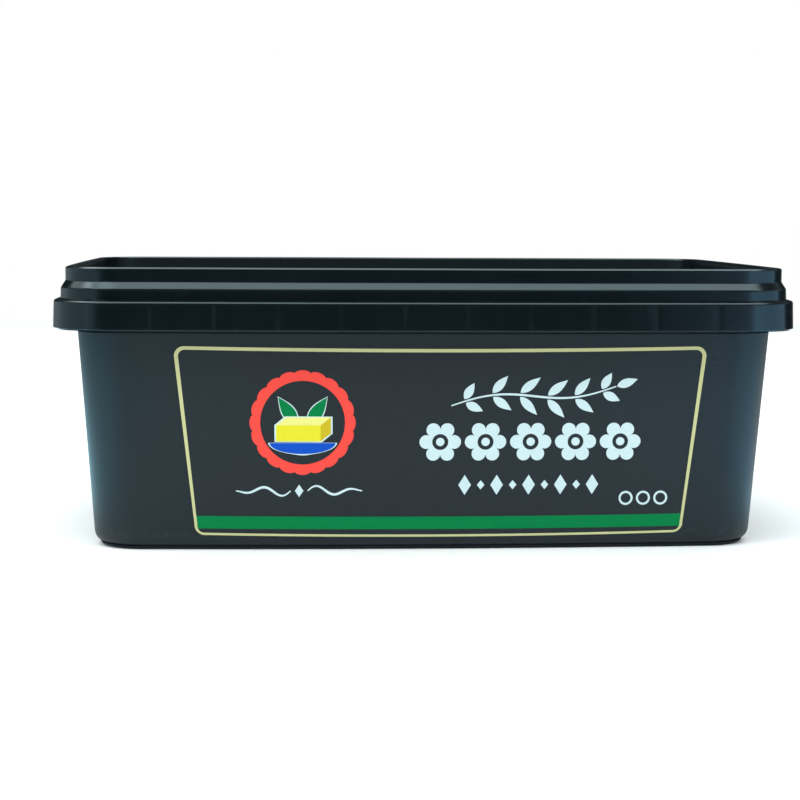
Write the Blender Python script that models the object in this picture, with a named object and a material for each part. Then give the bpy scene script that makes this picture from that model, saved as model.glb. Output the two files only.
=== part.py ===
"""A rectangular butter tub, shut with its press-on lid, with a label on the front.

Metres, +Z up. The origin is on the ground under the middle of the lid, and the
label faces -Y. Every level of the tub and the lid is one rounded rectangle, set
in from the lid's outer edge, and each body is a loft through such levels.
"""
import math

import bmesh
import bpy
from mathutils import Vector

# The outer edge of the lid, which all insets are measured from
LID_LENGTH = 0.1775
LID_WIDTH = 0.1224
TOTAL_HEIGHT = 0.0667
LID_CORNER_RADIUS = 0.0166
LONG_SIDE_BOW = 0.0017
SHORT_SIDE_BOW = 0.0003

# The lid's heights above the ground and its steps, from the skirt up
SKIRT_BOTTOM = 0.0526
SKIRT_TOP = 0.0589
LEDGE_TOP = 0.0593
SHOULDER_BOTTOM = 0.0618
SHOULDER_TOP = 0.0634
SKIRT_TAPER = 0.0002
LOWER_BAND_INSET = 0.0017
SHOULDER_INSET = 0.0019
UPPER_BAND_INSET = 0.0030
RIM_WIDTH = 0.0028
RECESS_DEPTH = 0.0045
LID_THICKNESS = 0.0012
SOFT_EDGE = 0.0005

# The tub's wall, flange, lower edge and foot
WALL_CORNER_RADIUS = 0.0111
WALL_TOP = 0.0518
WALL_TOP_INSET = 0.0057
WALL_BOTTOM = 0.0044
WALL_BOTTOM_INSET = 0.0089
LOWER_EDGE_BOTTOM = 0.0015
LOWER_EDGE_REACH = 0.0014
FLANGE_BELOW_SKIRT = 0.0004
FOOT_INSET = 0.0105
FOOT_HEIGHT = 0.0012
FOOT_WIDTH = 0.0034
FOOT_CORNER_RADIUS = 0.0104
BASE_RECESS = 0.0009

# The label, a film let into the front wall
LABEL_CENTRE_X = 0.0028
LABEL_BOTTOM = 0.0029
LABEL_TOP = 0.0484
LABEL_BOTTOM_HALF = 0.0585
LABEL_TOP_HALF = 0.0626
LABEL_CORNER_RADIUS = 0.0024
LABEL_SAG = 0.0006
LABEL_THICKNESS = 0.0003

# The space left between two pieces, how far a cutter stands out, and how finely the shapes are divided
GAP = 0.0003
CUTTER_REACH = 0.003
QUARTER_TURN = math.pi / 2
SHARP_ANGLE = math.radians(25)
CORNER_STEPS = 8
LONG_SIDE_STEPS = 12
SHORT_SIDE_STEPS = 8
EDGE_STEPS = 3
LOWER_EDGE_STEPS = 6
WALL_STEPS = 4
LABEL_COLUMNS = 16
LABEL_ROWS = 8


def clear_scene():
    for item in list(bpy.data.objects):
        bpy.data.objects.remove(item, do_unlink=True)


def plastic(name, colour, roughness):
    material = bpy.data.materials.new(name)
    material.use_nodes = True
    shader = material.node_tree.nodes["Principled BSDF"]
    shader.inputs["Base Color"].default_value = (*colour, 1.0)
    shader.inputs["Roughness"].default_value = roughness
    shader.inputs["Metallic"].default_value = 0.0
    material.diffuse_color = (*colour, 1.0)
    return material


def outline(inset, radius):
    """One level: a rounded rectangle with bowed sides, counter-clockwise from the front right."""
    half_x = LID_LENGTH / 2 - inset
    half_y = LID_WIDTH / 2 - inset
    centre = Vector((half_x - SHORT_SIDE_BOW - radius, half_y - LONG_SIDE_BOW - radius))
    corners = []
    for turn, (side_x, side_y) in enumerate(((1, -1), (1, 1), (-1, 1), (-1, -1))):
        middle = Vector((side_x * centre.x, side_y * centre.y))
        steps = [QUARTER_TURN * (turn - 1 + step / CORNER_STEPS) for step in range(CORNER_STEPS + 1)]
        corners.append([middle + radius * Vector((math.cos(a), math.sin(a))) for a in steps])
    points = []
    for turn, corner in enumerate(corners):
        points += corner
        along_short = turn % 2 == 0
        bow = SHORT_SIDE_BOW if along_short else LONG_SIDE_BOW
        count = SHORT_SIDE_STEPS if along_short else LONG_SIDE_STEPS
        outward = Vector((math.cos(QUARTER_TURN * turn), math.sin(QUARTER_TURN * turn)))
        following = corners[(turn + 1) % 4][0]
        for step in range(1, count):
            share = step / count
            points.append(corner[-1].lerp(following, share) + outward * bow * 4 * share * (1 - share))
    return points


def loft(name, levels, material):
    """A closed body through levels of (inset, height, corner radius), capped at both ends."""
    shape = bmesh.new()
    loops = []
    for inset, height, radius in levels:
        loops.append([shape.verts.new((p.x, p.y, height)) for p in outline(inset, radius)])
    for lower, upper in zip(loops, loops[1:]):
        for i in range(len(lower)):
            j = (i + 1) % len(lower)
            shape.faces.new((lower[i], lower[j], upper[j], upper[i]))
    shape.faces.new(reversed(loops[0]))
    shape.faces.new(loops[-1])
    return finished(name, shape, material)


def finished(name, shape, material):
    bmesh.ops.recalc_face_normals(shape, faces=shape.faces)
    mesh = bpy.data.meshes.new(name)
    shape.to_mesh(mesh)
    shape.free()
    mesh.shade_smooth()
    mesh.set_sharp_from_angle(angle=SHARP_ANGLE)
    mesh.materials.append(material)
    piece = bpy.data.objects.new(name, mesh)
    bpy.context.scene.collection.objects.link(piece)
    return piece


def soft_corner(inset_side, height_side, inset_flat, height_flat):
    """Points of a rounded edge between an upright face and a flat one."""
    points = []
    for step in range(EDGE_STEPS + 1):
        angle = QUARTER_TURN * step / EDGE_STEPS
        inset = inset_side + (inset_flat - inset_side) * (1 - math.cos(angle))
        height = height_side + (height_flat - height_side) * math.sin(angle)
        points.append((inset, height))
    return points


def wall_inset(height):
    """The tub's outer face, from the flange down past the rounded lower edge."""
    share = (height - WALL_BOTTOM) / (WALL_TOP - WALL_BOTTOM)
    inset = WALL_BOTTOM_INSET + share * (WALL_TOP_INSET - WALL_BOTTOM_INSET)
    if height < WALL_BOTTOM:
        depth = (WALL_BOTTOM - height) / (WALL_BOTTOM - LOWER_EDGE_BOTTOM)
        inset += LOWER_EDGE_REACH * (1 - math.sqrt(max(0.0, 1 - depth * depth)))
    return inset


def make_tub(material):
    """The filled tub: a foot ring round a recessed base, a drafted wall, a flange and a bead."""
    foot_inner = FOOT_INSET + FOOT_WIDTH
    foot = [(foot_inner + BASE_RECESS / 2, BASE_RECESS), (foot_inner, 0.0)]
    foot += soft_corner(FOOT_INSET, SOFT_EDGE, FOOT_INSET + SOFT_EDGE, 0.0)[::-1]
    foot.append((FOOT_INSET, FOOT_HEIGHT))
    wall = []
    for step in range(LOWER_EDGE_STEPS + 1):
        angle = QUARTER_TURN * step / LOWER_EDGE_STEPS
        height = WALL_BOTTOM - (WALL_BOTTOM - LOWER_EDGE_BOTTOM) * math.cos(angle)
        wall.append((wall_inset(height), height))
    for step in range(1, WALL_STEPS + 1):
        height = WALL_BOTTOM + (WALL_TOP - WALL_BOTTOM) * step / WALL_STEPS
        wall.append((wall_inset(height), height))
    flange_inset = LID_THICKNESS + GAP
    flange_bottom = SKIRT_BOTTOM - FLANGE_BELOW_SKIRT
    flange_top = SKIRT_TOP - LID_THICKNESS - GAP
    bead_inset = LOWER_BAND_INSET + LID_THICKNESS + GAP
    bead_top = TOTAL_HEIGHT - RECESS_DEPTH - LID_THICKNESS - GAP
    wall.append((WALL_TOP_INSET - SOFT_EDGE, flange_bottom))
    flange = [(flange_inset + SOFT_EDGE / 2, flange_bottom), (flange_inset, flange_bottom + SOFT_EDGE / 2)]
    flange += [(flange_inset, flange_top), (bead_inset, flange_top), (bead_inset, bead_top)]
    levels = [(inset, height, FOOT_CORNER_RADIUS) for inset, height in foot]
    levels += [(inset, height, WALL_CORNER_RADIUS) for inset, height in wall]
    levels += [(inset, height, LID_CORNER_RADIUS - inset) for inset, height in flange]
    return loft("tub", levels, material)


def make_lid(material):
    """The press-on lid: a skirt, a ledge, two bands with a shoulder between, a rim and a sunk panel."""
    panel_top = TOTAL_HEIGHT - RECESS_DEPTH
    panel_bottom = panel_top - LID_THICKNESS
    rim_inner = UPPER_BAND_INSET + RIM_WIDTH
    ledge_bottom = SKIRT_TOP - LID_THICKNESS
    band_inner = LOWER_BAND_INSET + LID_THICKNESS
    inside = [(band_inner, panel_bottom), (band_inner, ledge_bottom)]
    inside += [(LID_THICKNESS, ledge_bottom), (LID_THICKNESS, SKIRT_BOTTOM)]
    skirt = [(SOFT_EDGE / 2, SKIRT_BOTTOM), (0.0, SKIRT_BOTTOM + SOFT_EDGE / 2)]
    skirt += soft_corner(SKIRT_TAPER, SKIRT_TOP - SOFT_EDGE, SKIRT_TAPER + SOFT_EDGE, SKIRT_TOP)
    bands = [(LOWER_BAND_INSET, LEDGE_TOP), (SHOULDER_INSET, SHOULDER_BOTTOM)]
    bands += [(UPPER_BAND_INSET, SHOULDER_TOP)]
    rim = soft_corner(UPPER_BAND_INSET, TOTAL_HEIGHT - SOFT_EDGE, UPPER_BAND_INSET + SOFT_EDGE, TOTAL_HEIGHT)
    rim += soft_corner(rim_inner, TOTAL_HEIGHT - SOFT_EDGE, rim_inner - SOFT_EDGE, TOTAL_HEIGHT)[::-1]
    recess = [(rim_inner + SOFT_EDGE / 2, panel_top + SOFT_EDGE), (rim_inner + SOFT_EDGE, panel_top)]
    profile = inside + skirt + bands + rim + recess
    levels = [(inset, height, LID_CORNER_RADIUS - inset) for inset, height in profile]
    return loft("lid", levels, material)


def wall_front(x, height):
    """Y of the front wall's outer face."""
    inset = wall_inset(height)
    reach = LID_LENGTH / 2 - inset - SHORT_SIDE_BOW - WALL_CORNER_RADIUS
    return inset + LONG_SIDE_BOW * (x / reach) ** 2 - LID_WIDTH / 2


def label_slab(name, margin, front, back, material):
    """The label's shape between two depths behind the wall's face, grown all round by a margin."""
    radius = LABEL_CORNER_RADIUS + margin
    bottom = LABEL_BOTTOM - margin
    top = LABEL_TOP + margin
    slope = (LABEL_TOP_HALF - LABEL_BOTTOM_HALF) / (LABEL_TOP - LABEL_BOTTOM)
    turns = [QUARTER_TURN * step / EDGE_STEPS for step in range(EDGE_STEPS + 1)]
    rises = [radius * (1 - math.cos(turn)) for turn in turns]
    straight = top - bottom - 2 * radius
    rows = [(rise, radius * (1 - math.sin(turn))) for rise, turn in zip(rises, turns)]
    rows += [(radius + straight * row / LABEL_ROWS, 0.0) for row in range(1, LABEL_ROWS)]
    rows += [(top - bottom - rise, cut) for rise, cut in reversed(rows[:EDGE_STEPS + 1])]
    shape = bmesh.new()
    sheets = []
    for depth in (front, back):
        sheet = []
        for rise, cut in rows:
            half = LABEL_BOTTOM_HALF + margin + slope * (rise - margin) - cut
            line = []
            for column in range(LABEL_COLUMNS + 1):
                across = 2 * column / LABEL_COLUMNS - 1
                x = LABEL_CENTRE_X + across * half
                z = bottom + rise + LABEL_SAG * across * across
                line.append(shape.verts.new((x, wall_front(x, z) + depth, z)))
            sheet.append(line)
        sheets.append(sheet)
    for sheet in sheets:
        for lower, upper in zip(sheet, sheet[1:]):
            for i in range(LABEL_COLUMNS):
                shape.faces.new((lower[i], lower[i + 1], upper[i + 1], upper[i]))
    edges = [sheet[0] + [line[-1] for line in sheet[1:]] for sheet in sheets]
    for edge, sheet in zip(edges, sheets):
        edge += sheet[-1][-2::-1] + [line[0] for line in sheet[-2:0:-1]]
    for i in range(len(edges[0])):
        j = (i + 1) % len(edges[0])
        shape.faces.new((edges[0][i], edges[0][j], edges[1][j], edges[1][i]))
    return finished(name, shape, material)


def cut_label_pocket(tub, material):
    """A shallow pocket in the front wall that the label film lies in."""
    cutter = label_slab("label_pocket_cutter", GAP, -CUTTER_REACH, LABEL_THICKNESS + GAP, material)
    cutter.hide_render = True
    cutter.display_type = "WIRE"
    cut = tub.modifiers.new("label pocket", "BOOLEAN")
    cut.operation = "DIFFERENCE"
    cut.solver = "EXACT"
    cut.object = cutter


clear_scene()
tub_plastic = plastic("tub_plastic", (0.030, 0.038, 0.046), 0.42)
lid_plastic = plastic("lid_plastic", (0.012, 0.016, 0.020), 0.32)
label_film = plastic("label_film", (0.028, 0.033, 0.038), 0.38)
tub = make_tub(tub_plastic)
make_lid(lid_plastic)
label_slab("front_label", 0.0, 0.0, LABEL_THICKNESS, label_film)
cut_label_pocket(tub, tub_plastic)
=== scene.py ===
import math

import bmesh
import bpy
from mathutils import Euler, Matrix, Vector
from mathutils.geometry import tessellate_polygon


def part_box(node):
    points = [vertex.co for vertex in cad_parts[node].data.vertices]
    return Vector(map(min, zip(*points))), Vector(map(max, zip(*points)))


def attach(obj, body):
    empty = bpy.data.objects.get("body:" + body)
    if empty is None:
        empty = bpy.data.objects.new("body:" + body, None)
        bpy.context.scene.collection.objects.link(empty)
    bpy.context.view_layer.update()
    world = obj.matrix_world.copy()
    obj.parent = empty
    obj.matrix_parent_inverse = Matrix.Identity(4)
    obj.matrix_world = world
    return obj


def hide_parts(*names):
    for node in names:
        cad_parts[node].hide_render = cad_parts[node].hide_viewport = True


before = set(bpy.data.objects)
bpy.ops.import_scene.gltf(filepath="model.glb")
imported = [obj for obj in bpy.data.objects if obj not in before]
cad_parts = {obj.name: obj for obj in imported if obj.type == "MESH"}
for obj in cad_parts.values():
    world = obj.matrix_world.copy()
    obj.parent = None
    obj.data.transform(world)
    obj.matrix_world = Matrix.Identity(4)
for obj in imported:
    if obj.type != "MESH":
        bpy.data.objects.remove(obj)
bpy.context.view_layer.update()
lid_low, lid_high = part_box("lid")
tub_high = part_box("tub")[1]
label_low, label_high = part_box("front_label")

# The tub: one thin injection moulding of black polypropylene, rounded at its lower edge, on a narrow foot
# ring round a recessed base. Its walls lean out and bow a little, and end in a flange under the lid.
# Every level of tub and lid is a rounded rectangle, set in from the lid's outer edge. Sizes are in metres.
quarter = math.pi / 2
long_bow = 0.0017
short_bow = 0.0003
tight_round = 0.0002
soft_round = 0.0003
wall_corner = 0.0111
wall_top = 0.0518
wall_top_inset = 0.0057
wall_bottom = 0.0036
wall_bottom_inset = 0.0089
lower_edge_bottom = 0.0010
lower_edge_reach = 0.0014
foot_inset = 0.0105
foot_width = 0.0034
foot_height = 0.0007
foot_corner = 0.0104
foot_lean = 0.0002
base_height = 0.0009
base_slope = 0.0005
base_reach = 0.0030
groove_bottom = 0.0514
groove_depth = 0.0003
groove_slope = 0.0001
flange_drop = 0.0005
flange_top = 0.0574
bead_inset = 0.0032
closed_inset = 0.0080
lid_wall = 0.0012
clearance = 0.0003
lid_corner = 0.0166


def level(inset, corner, long_steps, short_steps, corner_steps=14):
    """One level of the pack, counter-clockwise from the front right: a rounded rectangle with bowed sides."""
    reach_x = lid_high.x - inset - short_bow - corner
    reach_y = lid_high.y - inset - long_bow - corner
    arcs = []
    for turn, (side_x, side_y) in enumerate(((1, -1), (1, 1), (-1, 1), (-1, -1))):
        middle = Vector((side_x * reach_x, side_y * reach_y))
        turns = [quarter * (turn - 1 + step / corner_steps) for step in range(corner_steps + 1)]
        arcs.append([middle + corner * Vector((math.cos(a), math.sin(a))) for a in turns])
    points = []
    for turn, arc in enumerate(arcs):
        points += arc
        bow, count = ((short_bow, short_steps), (long_bow, long_steps))[turn % 2]
        outward = Vector((math.cos(quarter * turn), math.sin(quarter * turn)))
        for step in range(1, count):
            share = step / count
            bulge = outward * bow * 4 * share * (1 - share)
            points.append(arc[-1].lerp(arcs[(turn + 1) % 4][0], share) + bulge)
    return points


def rounded(path, steps=5, support=0.00012):
    """A profile of (inset, height) from corners of (inset, height, radius), with a point beside each arc
    that keeps the flat stretches flat when they are shaded smooth."""
    points = []
    for i, (inset, height, radius) in enumerate(path):
        here = Vector((inset, height))
        if radius == 0:
            points.append(here)
            continue
        before = (Vector(path[i - 1][:2]) - here).normalized()
        after = (Vector(path[i + 1][:2]) - here).normalized()
        half = before.angle(after) / 2
        centre = here + (before + after).normalized() * radius / math.sin(half)
        start = here + before * radius / math.tan(half) - centre
        end = here + after * radius / math.tan(half) - centre
        points += [centre + radius * start.slerp(end, step / steps) for step in range(steps + 1)]
    filled = points[:1]
    for here, following in zip(points, points[1:]):
        along = following - here
        if along.length > 4 * support:
            filled += [here + along.normalized() * support, following - along.normalized() * support]
        filled.append(following)
    return filled


def shown(name, mesh_maker, sharp=35):
    """An object from a bmesh: faces out, and smooth but for edges sharper than this angle in degrees."""
    bmesh.ops.recalc_face_normals(mesh_maker, faces=mesh_maker.faces)
    mesh = bpy.data.meshes.new(name)
    mesh_maker.to_mesh(mesh)
    mesh_maker.free()
    mesh.shade_smooth()
    mesh.set_sharp_from_angle(angle=math.radians(sharp))
    piece = bpy.data.objects.new(name, mesh)
    bpy.context.scene.collection.objects.link(piece)
    return piece


def lofted(name, profile, corner_at, long_steps, short_steps, shape=None):
    """A closed body through a level at each profile point. shape may move a point, as shrinkage does."""
    body = bmesh.new()
    loops = []
    for inset, height in profile:
        around = level(inset, corner_at(inset, height), long_steps, short_steps)
        points = [Vector((p.x, p.y, height)) for p in around]
        loops.append([body.verts.new(shape(p) if shape else p) for p in points])
    for lower, upper in zip(loops, loops[1:]):
        for i in range(len(lower)):
            j = (i + 1) % len(lower)
            body.faces.new((lower[i], lower[j], upper[j], upper[i]))
    body.faces.new(reversed(loops[0]))
    body.faces.new(loops[-1])
    return shown(name, body)


def wall_inset(height):
    """How far in from the lid's edge the wall's outer face is, with the rounded lower edge."""
    share = (height - wall_bottom) / (wall_top - wall_bottom)
    inset = wall_bottom_inset + share * (wall_top_inset - wall_bottom_inset)
    if height < wall_bottom:
        depth = (wall_bottom - height) / (wall_bottom - lower_edge_bottom)
        inset += lower_edge_reach * (1 - math.sqrt(max(0.0, 1 - depth * depth)))
    return inset


def wall_profile(lower_steps=12, wall_steps=12):
    """The wall from the top of the foot up to the groove under the flange."""
    turns = [quarter * step / lower_steps for step in range(lower_steps + 1)]
    heights = [wall_bottom - (wall_bottom - lower_edge_bottom) * math.cos(a) for a in turns]
    rise = (groove_bottom - wall_bottom) / wall_steps
    heights += [wall_bottom + rise * step for step in range(1, wall_steps + 1)]
    return [Vector((wall_inset(height), height)) for height in heights]


foot_inner = foot_inset + foot_width
foot = [
    (foot_inner + base_reach, base_height, 0),
    (foot_inner + base_slope, base_height, soft_round),
    (foot_inner, 0.0, tight_round),
    (foot_inset + foot_lean, 0.0, soft_round),
    (foot_inset - foot_lean, foot_height, 0),
]
groove_inset = wall_inset(groove_bottom) + groove_depth
flange_inset = lid_wall + clearance
flange_bottom = lid_low.z - flange_drop
flange = [
    (groove_inset, groove_bottom + groove_slope, 0),
    (groove_inset, wall_top - groove_slope, 0),
    (wall_top_inset, wall_top, 0),
    (wall_top_inset, flange_bottom, 0),
    (flange_inset, flange_bottom, tight_round),
    (flange_inset, flange_top, soft_round),
    (bead_inset, flange_top, tight_round),
    (bead_inset, tub_high.z, soft_round),
    (closed_inset, tub_high.z, 0),
]
tub_profile = rounded(foot) + wall_profile() + rounded(flange)


def tub_corner(inset, height, above_wall=0.0003):
    """The corner radius at one point of the tub's profile: the foot's, the wall's, or the lid's set in."""
    if height <= foot_height:
        return foot_corner
    return lid_corner - inset if height > wall_top + above_wall else wall_corner


class Wire:
    """A socket in a material's nodes: arithmetic on it adds Math nodes, and node() adds any other node."""

    def __init__(self, tree, socket=None):
        self.tree = tree
        self.socket = socket

    def node(self, kind, settings=None, values=None, output=0):
        made = self.tree.nodes.new(kind)
        for name, setting in (settings or {}).items():
            setattr(made, name, setting)
        for name, value in (values or {}).items():
            if isinstance(value, Wire):
                self.tree.links.new(value.socket, made.inputs[name])
            else:
                made.inputs[name].default_value = value
        return Wire(self.tree, made.outputs[output])

    def maths(self, operation, *values):
        return self.node("ShaderNodeMath", {"operation": operation}, dict(enumerate(values)))

    def __add__(self, other):
        return self.maths("ADD", self, other)

    __radd__ = __add__

    def __sub__(self, other):
        return self.maths("SUBTRACT", self, other)

    def __rsub__(self, other):
        return self.maths("SUBTRACT", other, self)

    def __mul__(self, other):
        return self.maths("MULTIPLY", self, other)

    __rmul__ = __mul__

    def place(self):
        """Where a point is on its own object, in metres."""
        return self.node("ShaderNodeTexCoord", output="Object")

    def part(self, axis):
        """This place's X, Y or Z."""
        return self.node("ShaderNodeSeparateXYZ", None, {0: self}, output=axis)

    def noise(self, place, size, detail=3.0, roughness=0.5):
        """Cloudy noise from 0 to 1, with features of about this size in metres."""
        values = {"Vector": place, "Scale": 1 / size, "Detail": detail, "Roughness": roughness}
        return self.node("ShaderNodeTexNoise", None, values)

    def stretched(self, place, x, y, z):
        """The same place squeezed by these factors, which draws a pattern out along the small ones."""
        settings = {"operation": "MULTIPLY"}
        return self.node("ShaderNodeVectorMath", settings, {0: place, 1: (x, y, z)})

    def between(self, low, high):
        """0 below low, 1 above high, and smooth from one to the other."""
        values = {"Value": self, "From Min": low, "From Max": high}
        return self.node("ShaderNodeMapRange", {"interpolation_type": "SMOOTHSTEP"}, values)

    def mix(self, factor, low, high):
        """A colour from low to high as factor goes from 0 to 1."""
        return self.node("ShaderNodeMix", {"data_type": "RGBA"}, {0: factor, 6: low, 7: high}, output=2)

    def bump(self, height, strength, distance):
        """A normal tilted by fine relief, which stands up by at most this distance in metres."""
        values = {"Strength": strength, "Distance": distance, "Height": height}
        return self.node("ShaderNodeBump", None, values)


def solid(colour, gain=1.0, lift=0.0):
    """An opaque colour, made lighter or darker by gain and raised by lift."""
    return (*[gain * value + lift for value in colour], 1.0)


def finish_with(piece, name, build):
    """Gives a piece a Principled material whose sockets are what build returns for its nodes."""
    material = bpy.data.materials.new(name)
    material.use_nodes = True
    tree = material.node_tree
    shader = tree.nodes["Principled BSDF"]
    for socket, value in build(Wire(tree)).items():
        if isinstance(value, Wire):
            tree.links.new(value.socket, shader.inputs[socket])
        else:
            shader.inputs[socket].default_value = value
    piece.data.materials.clear()
    piece.data.materials.append(material)


def belongs(piece, slot, *nodes):
    """The piece rides on the pack's one body and stands for these CAD nodes, which it hides. slot is not
    used.
    """
    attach(piece, "root")
    if nodes:
        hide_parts(*nodes)


sheen = (0.80, 0.96, 1.0)


def moulded_plastic(black, roughness, reflection, rubs, marks=None):
    """Black polypropylene: a fine satin skin with faint flow streaks, a few scuffs, and a paler, rougher rub
    where the pack touches its neighbours, at each (height, width) of rubs. marks may add painted highlights,
    which are made paler and rougher in the same way as the wear."""
    def build(wires):
        place = wires.place()
        height = place.part("Z")
        cloud = wires.noise(place, size=0.030, detail=2.0)
        streaks = wires.noise(wires.stretched(place, 1.0, 1.0, 0.12), size=0.0040, detail=4.0)
        skin = wires.noise(place, size=0.00035, detail=2.0)
        scuff = wires.noise(wires.stretched(place, 0.25, 0.25, 1.0), size=0.0011).between(0.64, 0.72)
        scuff = scuff * wires.noise(place, size=0.022, detail=2.0).between(0.50, 0.66)
        rub = None
        for rubbed, width in rubs:
            near = 1.0 - wires.maths("ABSOLUTE", height - rubbed).between(0.0, width)
            rub = near if rub is None else wires.maths("MAXIMUM", rub, near)
        rub = rub * wires.noise(place, size=0.0016, detail=4.0, roughness=0.7).between(0.42, 0.70)
        # This mask holds the real wear and any painted highlights that marks add. Both make the black paler
        # and rougher.
        wear_and_highlight = wires.maths("MAXIMUM", rub * 0.4, scuff * 0.2)
        if marks:
            wear_and_highlight = wires.maths("MAXIMUM", wear_and_highlight, marks(wires, place, height))
        clean = wires.mix(cloud, solid(black), solid(black, 1.25))
        colour = wires.mix(wear_and_highlight, clean, solid(black, 2.6, 0.012))
        rough = roughness + 0.05 * (cloud - 0.5) + 0.06 * (streaks - 0.5) + 0.16 * wear_and_highlight
        relief = 0.35 * skin + 0.65 * streaks + 0.4 * scuff
        made = {"Base Color": colour, "Roughness": rough, "Normal": wires.bump(relief, 0.35, 0.00003)}
        return made | {"IOR": 1.49, "Specular IOR Level": reflection, "Specular Tint": solid(sheen)}
    return build


tub = lofted("tub_body", tub_profile, tub_corner, long_steps=72, short_steps=48)
tub_black = (0.0085, 0.0120, 0.0155)
tub_rubs = [(0.0, 0.0004), (wall_bottom, 0.0016)]
tub_plastic = moulded_plastic(tub_black, 0.46, 0.27, tub_rubs)
finish_with(tub, "satin_tub_plastic", tub_plastic)
belongs(tub, "tub_plastic", "tub")

# The gate marks: the small round wells, each with a nub, where the plastic was let into the two moulds.
# One is in the middle of the tub's base, facing down, and one in the middle of the lid's sunk panel.
gate_radius = 0.0042
gate_lip = 0.00025
gate_lip_round = 0.0001
gate_lip_width = 0.0005
gate_well_step = 0.0008
gate_well = 0.00004
gate_root = -0.0002


def turned(name, profile, middle, facing, steps=48):
    """A closed turned body from (radius, rise) points that start and end on the axis."""
    body = bmesh.new()
    rings = []
    for radius, rise in profile:
        turns = [2 * math.pi * step / steps for step in range(steps if radius else 1)]
        points = [Vector((radius * math.cos(a), radius * math.sin(a), facing * rise)) for a in turns]
        rings.append([body.verts.new(middle + p) for p in points])
    for inner, outer in zip(rings, rings[1:]):
        for i in range(steps):
            near = [ring[i % len(ring)] for ring in (inner, outer)]
            far = [ring[(i + 1) % steps % len(ring)] for ring in (outer, inner)]
            body.faces.new(list(dict.fromkeys(near + far)))
    return shown(name, body, sharp=30)


def gate_profile():
    """A low lip, a shallow well inside it and a nub in the middle, over a flat underside."""
    lip = [(gate_radius, gate_root), (gate_radius, gate_lip * 0.6), (gate_radius - gate_lip_round, gate_lip)]
    lip += [(gate_radius - gate_lip_width, gate_lip), (gate_radius - gate_well_step, gate_well)]
    nub = [(0.0010, gate_well), (0.0008, gate_lip), (0.0005, 0.0004), (0.0, 0.00045)]
    return [(0.0, gate_root)] + lip + nub


base_gate = turned("base_gate_mark", gate_profile(), Vector((0, 0, base_height)), -1)
finish_with(base_gate, "base_gate_plastic", tub_plastic)
belongs(base_gate, "tub_plastic")

# The lid: a second black moulding, pressed on over the tub's flange. From the skirt up it has a ledge, a
# band, a sloping shoulder, a second band and a rim with a fine bevel, round a sunk panel that the next
# tub's foot stands in. The panel's field lies a small step lower than its border.
skirt_drop = 0.00028
skirt_bottom = lid_low.z - skirt_drop
skirt_inner_round = 0.0001
skirt_outer_round = 0.00012
skirt_top = 0.0588
skirt_top_round = 0.00062
skirt_lean = 0.0002
ledge_inset = 0.0018
ledge_height = 0.0593
shoulder_bottom = 0.0617
shoulder_bottom_inset = 0.0019
shoulder_bottom_round = 0.0010
shoulder_top = 0.0634
shoulder_top_round = 0.0006
upper_band_inset = 0.0030
rim_chamfer = 0.00034
rim_chamfer_width = 1.25 * rim_chamfer
rim_chamfer_round = 0.00015
rim_inner = 0.0058
rim_inner_round = 0.0005
rim_inner_lean = 0.0004
recess_depth = 0.0045
recess_round = 0.0007
panel_top = lid_high.z - recess_depth
panel_bottom = panel_top - lid_wall
panel_border = 0.0092
panel_field = 0.0096
panel_field_reach = 0.0115
panel_step = 0.00025
panel_step_round = 0.0004
under_skirt_inset = 0.0029
sink_pitch = 0.0146
sink_offset = -0.0064
sink_width = 0.0009
sink_depth = 0.00005
outer_face_depth = 0.0009
warp_depth = 0.00005
long_wave = 0.021
short_wave = 0.009
wave_slant = 0.05
lid_path = [
    (closed_inset, panel_bottom, 0),
    (under_skirt_inset, panel_bottom, soft_round),
    (under_skirt_inset, skirt_top - lid_wall, tight_round),
    (lid_wall, skirt_top - lid_wall, soft_round),
    (lid_wall, skirt_bottom, skirt_inner_round),
    (0.0, skirt_bottom, skirt_outer_round),
    (skirt_lean, skirt_top, skirt_top_round),
    (ledge_inset, ledge_height, 0),
    (shoulder_bottom_inset, shoulder_bottom, shoulder_bottom_round),
    (upper_band_inset, shoulder_top, shoulder_top_round),
    (upper_band_inset, lid_high.z - rim_chamfer, rim_chamfer_round),
    (upper_band_inset + rim_chamfer_width, lid_high.z, rim_chamfer_round),
    (rim_inner, lid_high.z, rim_inner_round),
    (rim_inner + rim_inner_lean, panel_top, recess_round),
    (panel_border, panel_top, panel_step_round),
    (panel_field, panel_top - panel_step, panel_step_round),
    (panel_field_reach, panel_top - panel_step, 0),
]


def shrunk(point):
    """How the cooled moulding differs from its mould: faint sinks in the skirt where ribs stand behind it,
    and a lid that isn't quite flat."""
    x, y, z = point
    on_skirt = skirt_bottom < z < skirt_top + 0.0002
    on_outer_face = abs(y) > lid_high.y - long_bow - outer_face_depth and abs(x) < lid_high.x - lid_corner
    if on_skirt and on_outer_face:
        nearest = (x - sink_offset + sink_pitch / 2) % sink_pitch - sink_pitch / 2
        y -= math.copysign(sink_depth * math.exp(-(nearest / sink_width) ** 2), y)
    wave = 0.5 + 0.3 * math.sin(x / long_wave + 0.8) + 0.2 * math.sin(x / short_wave + y / wave_slant)
    z -= warp_depth * wave * (z - skirt_bottom) / (lid_high.z - skirt_bottom)
    return Vector((x, y, z))


def lid_level_corner(inset, height):
    """The lid's corner radius: every level keeps the outer corner's middle."""
    return lid_corner - inset


lid = lofted("lid_shell", rounded(lid_path), lid_level_corner, long_steps=200, short_steps=96, shape=shrunk)
lid_black = (0.0010, 0.0032, 0.0046)
lid_rubs = [(lid_high.z, 0.0006), (skirt_bottom, 0.0007), (skirt_top, 0.0005)]


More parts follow.
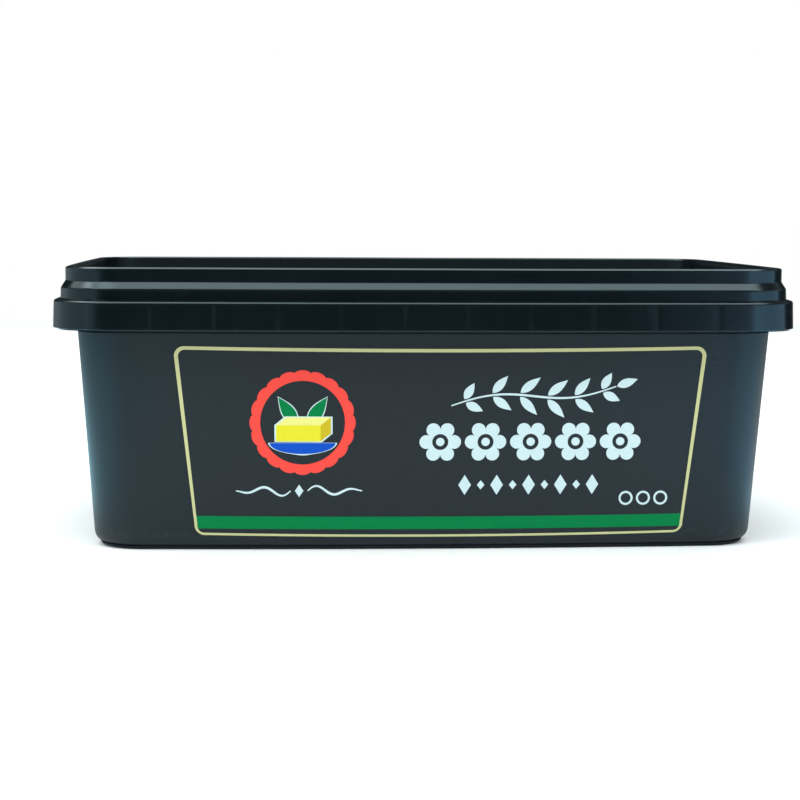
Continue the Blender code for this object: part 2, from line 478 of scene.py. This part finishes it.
def sink_mark_highlights(wires, place, height):
    """A painted highlight: the faint pale streak in the skirt over each sink mark, where a rib stands behind
    it. The sinks themselves are dents in the lid's shape.
    """
    nearest = wires.maths("PINGPONG", place.part("X") - sink_offset, sink_pitch / 2)
    below_top = 1.0 - height.between(skirt_top - 0.0008, skirt_top - 0.0003)
    strength = wires.noise(place, size=0.012, detail=1.0).between(0.35, 0.65)
    return (0.05 + 0.13 * strength) * (1.0 - nearest.between(0.0001, sink_width)) * below_top


# The lid's skirt gets painted highlights: pale streaks over the sink marks.
lid_plastic = moulded_plastic(lid_black, 0.20, 0.5, lid_rubs, sink_mark_highlights)
finish_with(lid, "smooth_lid_plastic", lid_plastic)
belongs(lid, "lid_plastic", "lid")

lid_gate = turned("lid_gate_mark", gate_profile(), Vector((0, 0, panel_top - panel_step - warp_depth)), 1)
finish_with(lid_gate, "lid_gate_plastic", lid_plastic)
belongs(lid_gate, "lid_plastic")

# The front label: a thin black film laid in the mould, so that it is one with the front wall. It narrows
# towards the foot as the wall does, and its top and bottom edges sag a little in the middle.
label_shift = 0.0001
label_spread = 0.0005
label_taper = 0.0041
label_middle = (label_low.x + label_high.x) / 2 + label_shift
label_bottom = label_low.z
label_sag = 0.0006
label_top = label_high.z - label_sag
label_top_half = (label_high.x - label_low.x) / 2 + label_spread
label_bottom_half = label_top_half - label_taper
label_corner = 0.0024
film_depth = 0.0001
film_rise = 0.00006
ink_rise = 0.00003


def wall_front(x, height):
    """Y of the front wall's outer face."""
    inset = wall_inset(height)
    reach = lid_high.x - inset - short_bow - wall_corner
    return inset + long_bow * (x / reach) ** 2 - lid_high.y


def label_half(height):
    """Half the label's width at a height."""
    share = (height - label_bottom) / (label_top - label_bottom)
    return label_bottom_half + share * (label_top_half - label_bottom_half)


def bordered(inset, corner, drop=0.0, steps=8, across=40):
    """The label's outline set in by inset, with rounded corners and its lower run dropped, counter-clockwise
    from the bottom right."""
    low, high = label_bottom + inset - drop, label_top - inset
    lean = math.atan((label_top_half - label_bottom_half) / (label_top - label_bottom))
    right = []
    for height, turn in ((low, -1), (high, 1)):
        half = label_half(height) - inset / math.cos(lean)
        bend = quarter - turn * lean
        reach = corner * math.tan((math.pi - (quarter + turn * lean)) / 2)
        middle = Vector((half - reach, height - turn * corner))
        shares = [step / steps for step in range(steps + 1)]
        if turn < 0:
            angles = [-quarter + bend * share for share in shares]
        else:
            angles = [quarter - bend * (1 - share) for share in shares]
        right += [middle + corner * Vector((math.cos(a), math.sin(a))) for a in angles]
    left = [Vector((-p.x, p.y)) for p in reversed(right)]
    ends = [left[-1], right[0], right[-1], left[0]]
    bottom = [ends[0].lerp(ends[1], step / across) for step in range(1, across)]
    top = [ends[2].lerp(ends[3], step / across) for step in range(1, across)]
    outline = right + top + left + bottom
    return [Vector((label_middle + p.x, p.y + label_sag * (p.x / label_half(p.y)) ** 2)) for p in outline]


def printed(name, shapes, low, high, bend_every=0.003):
    """A closed skin of flat shapes, each an outline and its holes in label places, laid on the front wall
    between two rises. It is cut into strips so that it follows the wall's bow."""
    skin = bmesh.new()
    for shape in shapes:
        points = [point for loop in shape for point in loop]
        corners = [skin.verts.new((p.x, 0.0, p.y)) for p in points]
        for triangle in tessellate_polygon([[p.to_3d() for p in loop] for loop in shape]):
            skin.faces.new([corners[i] for i in triangle])
    xs = [v.co.x for v in skin.verts]
    for step in range(math.ceil(min(xs) / bend_every), math.floor(max(xs) / bend_every) + 1):
        everything = skin.verts[:] + skin.edges[:] + skin.faces[:]
        cut = Vector((step * bend_every, 0, 0))
        bmesh.ops.bisect_plane(skin, geom=everything, plane_co=cut, plane_no=(1, 0, 0), dist=1e-7)
    raised = bmesh.ops.extrude_face_region(skin, geom=skin.faces[:], use_keep_orig=True)["geom"]
    raised = {v for v in raised if isinstance(v, bmesh.types.BMVert)}
    for v in skin.verts:
        x, z = v.co.x, v.co.z
        v.co = Vector((x, wall_front(x, z) - (high if v in raised else low), z))
    return shown(name, skin)


def film(black, roughness):
    """Printed film: an even black with the faint mottle of the ink under it, smoother than the wall."""
    def build(wires):
        place = wires.place()
        mottle = wires.noise(place, size=0.0022, detail=4.0, roughness=0.6)
        ripple = wires.noise(wires.stretched(place, 1.0, 1.0, 0.3), size=0.009, detail=2.0)
        dots = wires.noise(place, size=0.00025, detail=1.0)
        colour = wires.mix(mottle, solid(black), solid(black, 1.35))
        relief = wires.bump(0.8 * ripple + 0.2 * dots, 0.3, 0.00003)
        made = {"Base Color": colour, "Roughness": roughness + 0.06 * (mottle - 0.5), "Normal": relief}
        return made | {"Specular IOR Level": 0.27, "Specular Tint": solid(sheen)}
    return build


label = printed("label_film", [[bordered(0.0, label_corner)]], -film_depth, film_rise)
film_black = (0.0092, 0.0112, 0.0142)
finish_with(label, "black_label_film", film(film_black, 0.44))
belongs(label, "label_film", "front_label")

# The printed line round the label and the band above its lower run: opaque inks under the film's skin,
# a pale gold that is a little greenish, and a clear mid green. The line is printed over the band's ends.
line_inset = 0.00050
line_width = 0.00080
line_drop = 0.00022
lower_line_width = 0.00054
line_corner = 0.0024
band_bottom = 0.0050
band_top = 0.0080
band_overlap = 0.00005
band_steps = 48
gold = (0.54, 0.53, 0.27)
green = (0.0005, 0.185, 0.052)


def ink(colour, depth=0.05):
    """An opaque ink: even, with a slight mottle and a soft satin face."""
    def build(wires):
        place = wires.place()
        mottle = wires.noise(place, size=0.0009, roughness=0.6)
        grain = wires.noise(place, size=0.00022, detail=1.0)
        tone = wires.mix(mottle, solid(colour, 1 - depth), solid(colour, 1 + depth))
        made = {"Base Color": tone, "Roughness": 0.44 + 0.08 * (mottle - 0.5)}
        return made | {"Normal": wires.bump(grain, 0.2, 0.00001), "Specular IOR Level": 0.06}
    return build


def stamp(name, shapes, colour, layer=1):
    """Prints shapes in one ink. A higher layer lies on the lower ones."""
    piece = printed(name, shapes, film_rise - ink_rise, film_rise + layer * ink_rise)
    finish_with(piece, name + "_ink", ink(colour))
    belongs(piece, "label_film")


line_outer = bordered(line_inset, line_corner, line_drop)
inner_drop = line_drop + line_width - lower_line_width
line_inner = bordered(line_inset + line_width, line_corner - line_width, inner_drop)
stamp("gold_line", [[line_outer, line_inner[::-1]]], gold, layer=2)


def band_point(share, height):
    """A point from -1 to 1 between the gold line's two sides, which sags half as much as the label."""
    half = label_half(height) - line_inset - line_width + band_overlap
    return Vector((label_middle + share * half, height + label_sag * share * share * 0.5))


band_shares = [2 * step / band_steps - 1 for step in range(band_steps + 1)]
band = [band_point(share, band_bottom) for share in band_shares]
band += [band_point(share, band_top) for share in reversed(band_shares)]
stamp("green_band", [[band]], green)

# The badge at the left of the label: a red scalloped rosette round a slab of butter on a blue dish, with
# two green leaves behind it. It is printed in flat spot colours with thin white edges.
badge_middle = Vector((-0.0298, 0.0305))
rosette_outer = 0.0124
rosette_inner = 0.0099
rosette_scallops = 20
rosette_scallop_depth = 0.045
leaf_root = badge_middle + Vector((0.0, -0.0006))
leaf_length = 0.0080
leaf_width = 0.0030
leaf_spread = 34
leaf_apart = 0.0012
leaf_edge = 0.00025
dish_middle = badge_middle + Vector((0.0, -0.0048))
dish_half = 0.0077
dish_depth = 0.0026
dish_edge = 0.00035
slab_half = 0.0052
slab_height = 0.0038
slab_depth = Vector((0.0024, 0.0019))
slab_to_left = 0.0010
slab_lift = 0.0004
slab_corner = dish_middle + Vector((-slab_half - slab_to_left, slab_lift))
slab_edge = 0.0004
red = (0.84, 0.070, 0.054)
blue = (0.006, 0.075, 0.48)
leaf_green = (0.001, 0.185, 0.052)
yellow = (0.72, 0.66, 0.030)
butter_light = (0.78, 0.74, 0.22)
butter_shade = (0.56, 0.42, 0.018)
white = (0.56, 0.69, 0.71)


def arc(middle, radius, start, end, steps):
    """Points on an arc, with its angles in degrees."""
    angles = [math.radians(start + (end - start) * step / steps) for step in range(steps + 1)]
    return [middle + radius * Vector((math.cos(a), math.sin(a))) for a in angles]


def hole(middle, radius, steps):
    """A full circle's outline, clockwise, for a hole in a shape."""
    return arc(middle, radius, 360, 0, steps)[:-1]


def grown(outline, by):
    """A convex outline moved out by a distance."""
    middle = sum(outline, Vector((0, 0))) / len(outline)
    return [point + (point - middle).normalized() * by for point in outline]


def leaf(root, length, width, angle, steps=14):
    """A pointed leaf from its root, at an angle in degrees."""
    along = Vector((math.cos(math.radians(angle)), math.sin(math.radians(angle))))
    side = Vector((-along.y, along.x))
    shares = [step / steps for step in range(steps + 1)]
    spine = [root + along * length * share for share in shares]
    bulges = [side * width / 2 * math.sin(math.pi * share ** 0.8) for share in shares]
    upper = [point + bulge for point, bulge in zip(spine, bulges)]
    lower = [point - bulge for point, bulge in zip(spine, bulges)]
    return upper[::-1] + lower[1:-1]


def petalled(middle, radius, petals, depth, steps):
    """A round outline with this many round lobes, as deep as this share of its radius."""
    turns = [2 * math.pi * step / steps for step in range(steps)]
    radii = [radius * (1 - depth + depth * abs(math.cos(a * petals / 2)) ** 0.6) for a in turns]
    return [middle + r * Vector((math.cos(a), math.sin(a))) for a, r in zip(turns, radii)]


rosette = petalled(badge_middle, rosette_outer, rosette_scallops, rosette_scallop_depth, steps=240)
stamp("badge_rosette", [[rosette, hole(badge_middle, rosette_inner, steps=96)]], red)

leaves = []
for side in (-1, 1):
    root = leaf_root + Vector((side * leaf_apart, 0.0))
    leaves.append(leaf(root, leaf_length, leaf_width, 90 - side * leaf_spread))
stamp("badge_leaf_edges", [[grown(shape, leaf_edge)] for shape in leaves], white)
stamp("badge_leaves", [[shape] for shape in leaves], leaf_green, layer=2)

lower_half_circle = arc(Vector((0, 0)), 1.0, 180, 360, 36)
dish = [dish_middle + Vector((p.x * dish_half, p.y * dish_depth)) for p in lower_half_circle]
stamp("badge_dish_edge", [[grown(dish, dish_edge)]], white, layer=2)
stamp("badge_dish", [[dish]], blue, layer=3)

slab_corners = ((0, 0), (2 * slab_half, 0), (2 * slab_half, slab_height), (0, slab_height))
slab_front = [slab_corner + Vector(corner) for corner in slab_corners]
low_left, low_right, high_right, high_left = slab_front
slab_top = [high_left, high_right, high_right + slab_depth, high_left + slab_depth]
slab_end = [low_right, low_right + slab_depth, high_right + slab_depth, high_right]
slab_outline = [low_left, low_right, slab_end[1], slab_end[2], slab_top[3], high_left]
stamp("badge_slab_edge", [[grown(slab_outline, slab_edge)]], white, layer=3)
stamp("badge_slab_front", [[slab_front]], yellow, layer=4)
stamp("badge_slab_top", [[slab_top]], butter_light, layer=4)
stamp("badge_slab_end", [[slab_end]], butter_shade, layer=4)

# The pale ornaments to the right of the badge and under it, in one white ink: a leafy sprig, a row of
# meadow flowers, a row of lozenges, three small rings and a flourish.
sprig_start = Vector((0.0050, 0.0345))
sprig_end = Vector((0.0440, 0.0390))
sprig_swing = 0.0014
sprig_pairs = 6
sprig_stem = 0.0005
sprig_steps = 48
sprig_leaf_length = 0.0060
sprig_leaf_width = 0.0021
sprig_leaf_angle = 42
tip_leaf_length = 0.0052
flower_row = Vector((0.0239, 0.0259))
flower_pitch = 0.0107
flower_radius = 0.0049
flower_ring = 0.0019
flower_eye = 0.0010
lozenge_row = Vector((0.0236, 0.0156))
lozenge_pitch = 0.0038
large_lozenge = (0.0015, 0.0024)
small_lozenge = (0.0009, 0.0011)
rings_row = Vector((0.0512, 0.0122))
rings_pitch = 0.0042
ring_outer = 0.0017
ring_inner = 0.0012
flourish_middle = Vector((-0.0306, 0.0143))
flourish_lozenge = (0.0010, 0.0015)
flourish_start = 0.0020
flourish_reach = 0.0148
flourish_swing = 0.0013
flourish_thin = 0.00022
flourish_swell = 0.00036
flourish_steps = 60


def disc(middle, radius, steps):
    """A full circle's outline."""
    return arc(middle, radius, 0, 360, steps)[:-1]


def stroke(points, widths):
    """The outline of a pen stroke along points, as wide at each as widths say."""
    left, right = [], []
    for i, point in enumerate(points):
        along = points[min(i + 1, len(points) - 1)] - points[max(i - 1, 0)]
        side = Vector((-along.y, along.x)).normalized() * widths[i] / 2
        left.append(point + side)
        right.append(point - side)
    return right + left[::-1]


def row(middle, pitch, count):
    """The middles of a row of count like shapes, from left to right."""
    return [middle + Vector(((i - count // 2) * pitch, 0.0)) for i in range(count)]


def heading(direction):
    """A direction's angle in degrees."""
    return math.degrees(math.atan2(direction.y, direction.x))


def stem_point(share):
    """A point on the sprig's stem, which rises and dips once."""
    swing = sprig_swing * math.sin(2 * math.pi * share)
    return sprig_start.lerp(sprig_end, share) + Vector((0.0, swing))


stem = [stem_point(step / sprig_steps) for step in range(sprig_steps + 1)]
swells = [math.sin(math.pi * step / sprig_steps) for step in range(sprig_steps + 1)]
sprig = [[stroke(stem, [sprig_stem * (0.55 + 0.45 * swell) for swell in swells])]]
for pair in range(sprig_pairs):
    share = (pair + 0.5) / sprig_pairs
    along = (stem_point(share + 0.01) - stem_point(share - 0.01)).normalized()
    length = sprig_leaf_length * (0.66 + 0.34 * math.sin(math.pi * share))
    for side in (-1, 1):
        root = stem_point(share) + side * sprig_stem * Vector((-along.y, along.x))
        sprig.append([leaf(root, length, sprig_leaf_width, heading(along) + side * sprig_leaf_angle)])
tip = (stem[-1] - stem[-2]).normalized()
sprig.append([leaf(stem[-1] + tip * 0.0002, tip_leaf_length, sprig_leaf_width, heading(tip))])
stamp("sprig", sprig, white)

flowers = []
for middle in row(flower_row, flower_pitch, 5):
    petals = petalled(middle, flower_radius, petals=6, depth=0.38, steps=120)
    flowers += [[petals, hole(middle, flower_ring, steps=24)], [disc(middle, flower_eye, steps=20)]]
stamp("flower_row", flowers, white)


def lozenge(middle, half_width, half_height):
    """An upright lozenge."""
    corners = ((0, -half_height), (half_width, 0), (0, half_height), (-half_width, 0))
    return [middle + Vector(corner) for corner in corners]


lozenges = []
for i, middle in enumerate(row(lozenge_row, lozenge_pitch, 9)):
    lozenges.append([lozenge(middle, *(small_lozenge if i % 2 else large_lozenge))])
stamp("lozenge_row", lozenges, white)

rings = []
for middle in row(rings_row, rings_pitch, 3):
    rings.append([disc(middle, ring_outer, steps=32), hole(middle, ring_inner, steps=32)])
stamp("ring_row", rings, white)

flourish = [[lozenge(flourish_middle, *flourish_lozenge)]]
for side in (-1, 1):
    swash, widths = [], []
    for step in range(flourish_steps + 1):
        share = step / flourish_steps
        reach = flourish_start + share * (flourish_reach - flourish_start)
        swing = flourish_swing * math.sin(3 * math.pi * share) * (1 - share) ** 0.6
        swash.append(flourish_middle + Vector((side * reach, side * swing)))
        widths.append(flourish_thin + flourish_swell * math.sin(math.pi * share) ** 0.7)
    flourish.append([stroke(swash, widths)])
stamp("flourish", flourish, white)

# The studio: a plain pale floor and backdrop, lit by three soft boxes. Cards stand round the set, out of the
# camera's sight, for the glossy plastic to mirror: a bright one overhead, a bluish one beyond each end, and
# a ring that is nearly black low down in front and at the back, with a pale blue patch at the front right.
floor_reach = 0.95
ring_distance = 0.42
ring_height = 0.24
top_card_place = (-0.16, 0.1875, 0.95)
top_card_size = (1.68, 0.885, 1.0)
end_card_bend = [(0.104, 0.0015), (0.22, 0.0015), (0.22, 0.09)]
cool = (0.86, 0.97, 1.0)
card_black = (0.003, 0.006, 0.008, 1)
card_blue = (0.42, 0.56, 0.74, 1)
high_front_grey = (0.30, 0.35, 0.36, 1)
low_rear_grey = (0.27, 0.31, 0.32, 1)


def paper(wires):
    """Matt pale paper with the faintest mottle."""
    mottle = wires.noise(wires.place(), size=0.05)
    return {"Base Color": wires.mix(mottle, (0.98, 0.93, 0.91, 1), (0.99, 0.94, 0.92, 1)), "Roughness": 0.9}


def card(name, mesh_maker, glow):
    """A card that only the glossy plastic sees: black, with the light that glow makes from its nodes."""
    def build(wires):
        made = {"Base Color": (0.0, 0.0, 0.0, 1), "Roughness": 1.0}
        return made | {"Emission Color": glow(wires), "Emission Strength": 1.0}
    piece = shown(name, mesh_maker)
    finish_with(piece, name, build)
    for ray in ("camera", "diffuse", "transmission", "volume_scatter", "shadow"):
        setattr(piece, "visible_" + ray, False)


def round_card(wires):
    """Nearly black low down in front, with a pale blue at the front right, and a dim grey higher up in front.
    At the back it is nearly black too, but for a dim grey low down that ends towards the right."""
    place = wires.place()
    to_right, to_back, height = [place.part(axis) for axis in "XYZ"]
    front_right = to_right.between(0.140, 0.190) * (1.0 - to_back.between(-0.22, -0.12))
    front_right = front_right * (1.0 - height.between(0.080, 0.100))
    low = wires.mix(front_right, card_black, card_blue)
    front = wires.mix(height.between(0.105, 0.125), low, high_front_grey)
    low_left = (1.0 - height.between(0.066, 0.078)) * (1.0 - to_right.between(0.26, 0.34))
    rear = wires.mix(low_left, card_black, low_rear_grey)
    return wires.mix(to_back.between(0.10, 0.25), front, rear)


def end_card(name, side, stops, lying):
    """A card beyond one end of the tub, bent so that it stands up and lies on the floor as well. Along the
    upright part its light goes through the stops, of (y, colour). The lying part has one light, lying."""
    def glow(wires):
        place = wires.place()
        to_back, height = [place.part(axis) for axis in "YZ"]
        upright = (*stops[0][1], 1)
        for (before, _), (y, colour) in zip(stops, stops[1:]):
            upright = wires.mix(to_back.between(before, y), upright, (*colour, 1))
        flat = wires.mix(to_back.between(-0.36, -0.10), (0, 0, 0, 1), (*lying, 1))
        return wires.mix(height.between(0.004, 0.006), flat, upright)
    mesh_maker = bmesh.new()
    ends = (stops[0][0], stops[-1][0])
    rows = [[mesh_maker.verts.new((side * x, y, z)) for x, z in end_card_bend] for y in ends]
    for i in range(len(end_card_bend) - 1):
        mesh_maker.faces.new((rows[0][i], rows[0][i + 1], rows[1][i + 1], rows[1][i]))
    card(name, mesh_maker, glow)


def soft_box(name, place, size, radiance):
    """A long soft light at place, turned towards the tub."""
    data = bpy.data.lights.new(name, "AREA")
    data.shape = "RECTANGLE"
    data.size, data.size_y = size
    data.energy = radiance * math.pi * size[0] * size[1]
    data.color = cool
    lamp = bpy.data.objects.new(name, data)
    lamp.location = place
    lamp.rotation_euler = Vector(place).to_track_quat("Z", "Y").to_euler()
    bpy.context.scene.collection.objects.link(lamp)


floor_mesh = bmesh.new()
bmesh.ops.create_circle(floor_mesh, cap_ends=True, segments=96, radius=floor_reach)
floor = shown("floor", floor_mesh)
finish_with(floor, "pale_floor", paper)

ring_mesh = bmesh.new()
bmesh.ops.create_cone(ring_mesh, segments=96, radius1=ring_distance, radius2=ring_distance, depth=ring_height)
bmesh.ops.translate(ring_mesh, verts=ring_mesh.verts, vec=(0, 0, ring_height / 2))
card("round_card", ring_mesh, round_card)

top_mesh = bmesh.new()
bmesh.ops.create_grid(top_mesh, x_segments=1, y_segments=1, size=0.5)
bmesh.ops.scale(top_mesh, verts=top_mesh.verts, vec=top_card_size)
bmesh.ops.translate(top_mesh, verts=top_mesh.verts, vec=top_card_place)
card("top_card", top_mesh, lambda wires: solid(cool, 3.8))

left_stops = [(-0.30, (0.0, 0.0, 0.0)), (-0.22, (0.10, 0.14, 0.16)), (-0.17, (0.50, 0.66, 0.75))]
left_stops += [(0.04, (0.42, 0.56, 0.63)), (0.16, (0.26, 0.33, 0.37))]
end_card("left_card", -1, left_stops, lying=(1.58, 2.95, 3.48))
right_stops = [(-0.355, (0.42, 0.56, 0.74)), (-0.27, (0.50, 0.68, 0.90)), (-0.23, (0.95, 1.62, 2.20))]
right_stops += [(-0.01, (0.52, 0.92, 1.24))]
end_card("right_card", 1, right_stops, lying=(1.60, 3.10, 3.95))

soft_box("front_box", place=(0.02, -0.46, 0.90), size=(2.2, 0.42), radiance=3.9)
soft_box("top_box", place=(-0.16, 0.20, 1.00), size=(1.68, 0.95), radiance=1.7)
soft_box("left_box", place=(-0.85, 0.15, 0.62), size=(0.70, 0.60), radiance=1.7)

world = bpy.data.worlds.new("studio")
bpy.context.scene.world = world
world.use_nodes = True
world.node_tree.nodes.clear()
sky = Wire(world.node_tree)
seen = sky.node("ShaderNodeLightPath", output="Is Camera Ray")
glossy = sky.node("ShaderNodeLightPath", output="Is Glossy Ray")
fill = sky.node("ShaderNodeBackground", None, {"Color": solid(cool), "Strength": 0.65 - 0.55 * glossy})
backdrop = sky.node("ShaderNodeBackground", None, {"Color": (1.0, 1.0, 1.0, 1.0), "Strength": 1.0})
either = sky.node("ShaderNodeMixShader", None, {0: seen, 1: fill, 2: backdrop})
world_out = world.node_tree.nodes.new("ShaderNodeOutputWorld")
world.node_tree.links.new(either.socket, world_out.inputs["Surface"])

# The camera: a little left of the tub and just above its rim, looking slightly down and to the right, with
# a long lens, as the photograph was taken.
camera = bpy.data.objects.new("camera", bpy.data.cameras.new("camera"))
camera.location = (-0.0362, -0.5025, 0.0790)
camera.data.sensor_width = 36.0
camera.data.lens = 86.8
camera.data.clip_start = 0.01
down, right, roll = math.radians(5.485), math.radians(3.72), math.radians(0.292)
turn = Euler((quarter - down, 0.0, -right)).to_matrix() @ Matrix.Rotation(roll, 3, "Z")
camera.rotation_euler = turn.to_euler()
bpy.context.scene.collection.objects.link(camera)
bpy.context.scene.camera = camera
bpy.context.scene.view_settings.view_transform = "Standard"
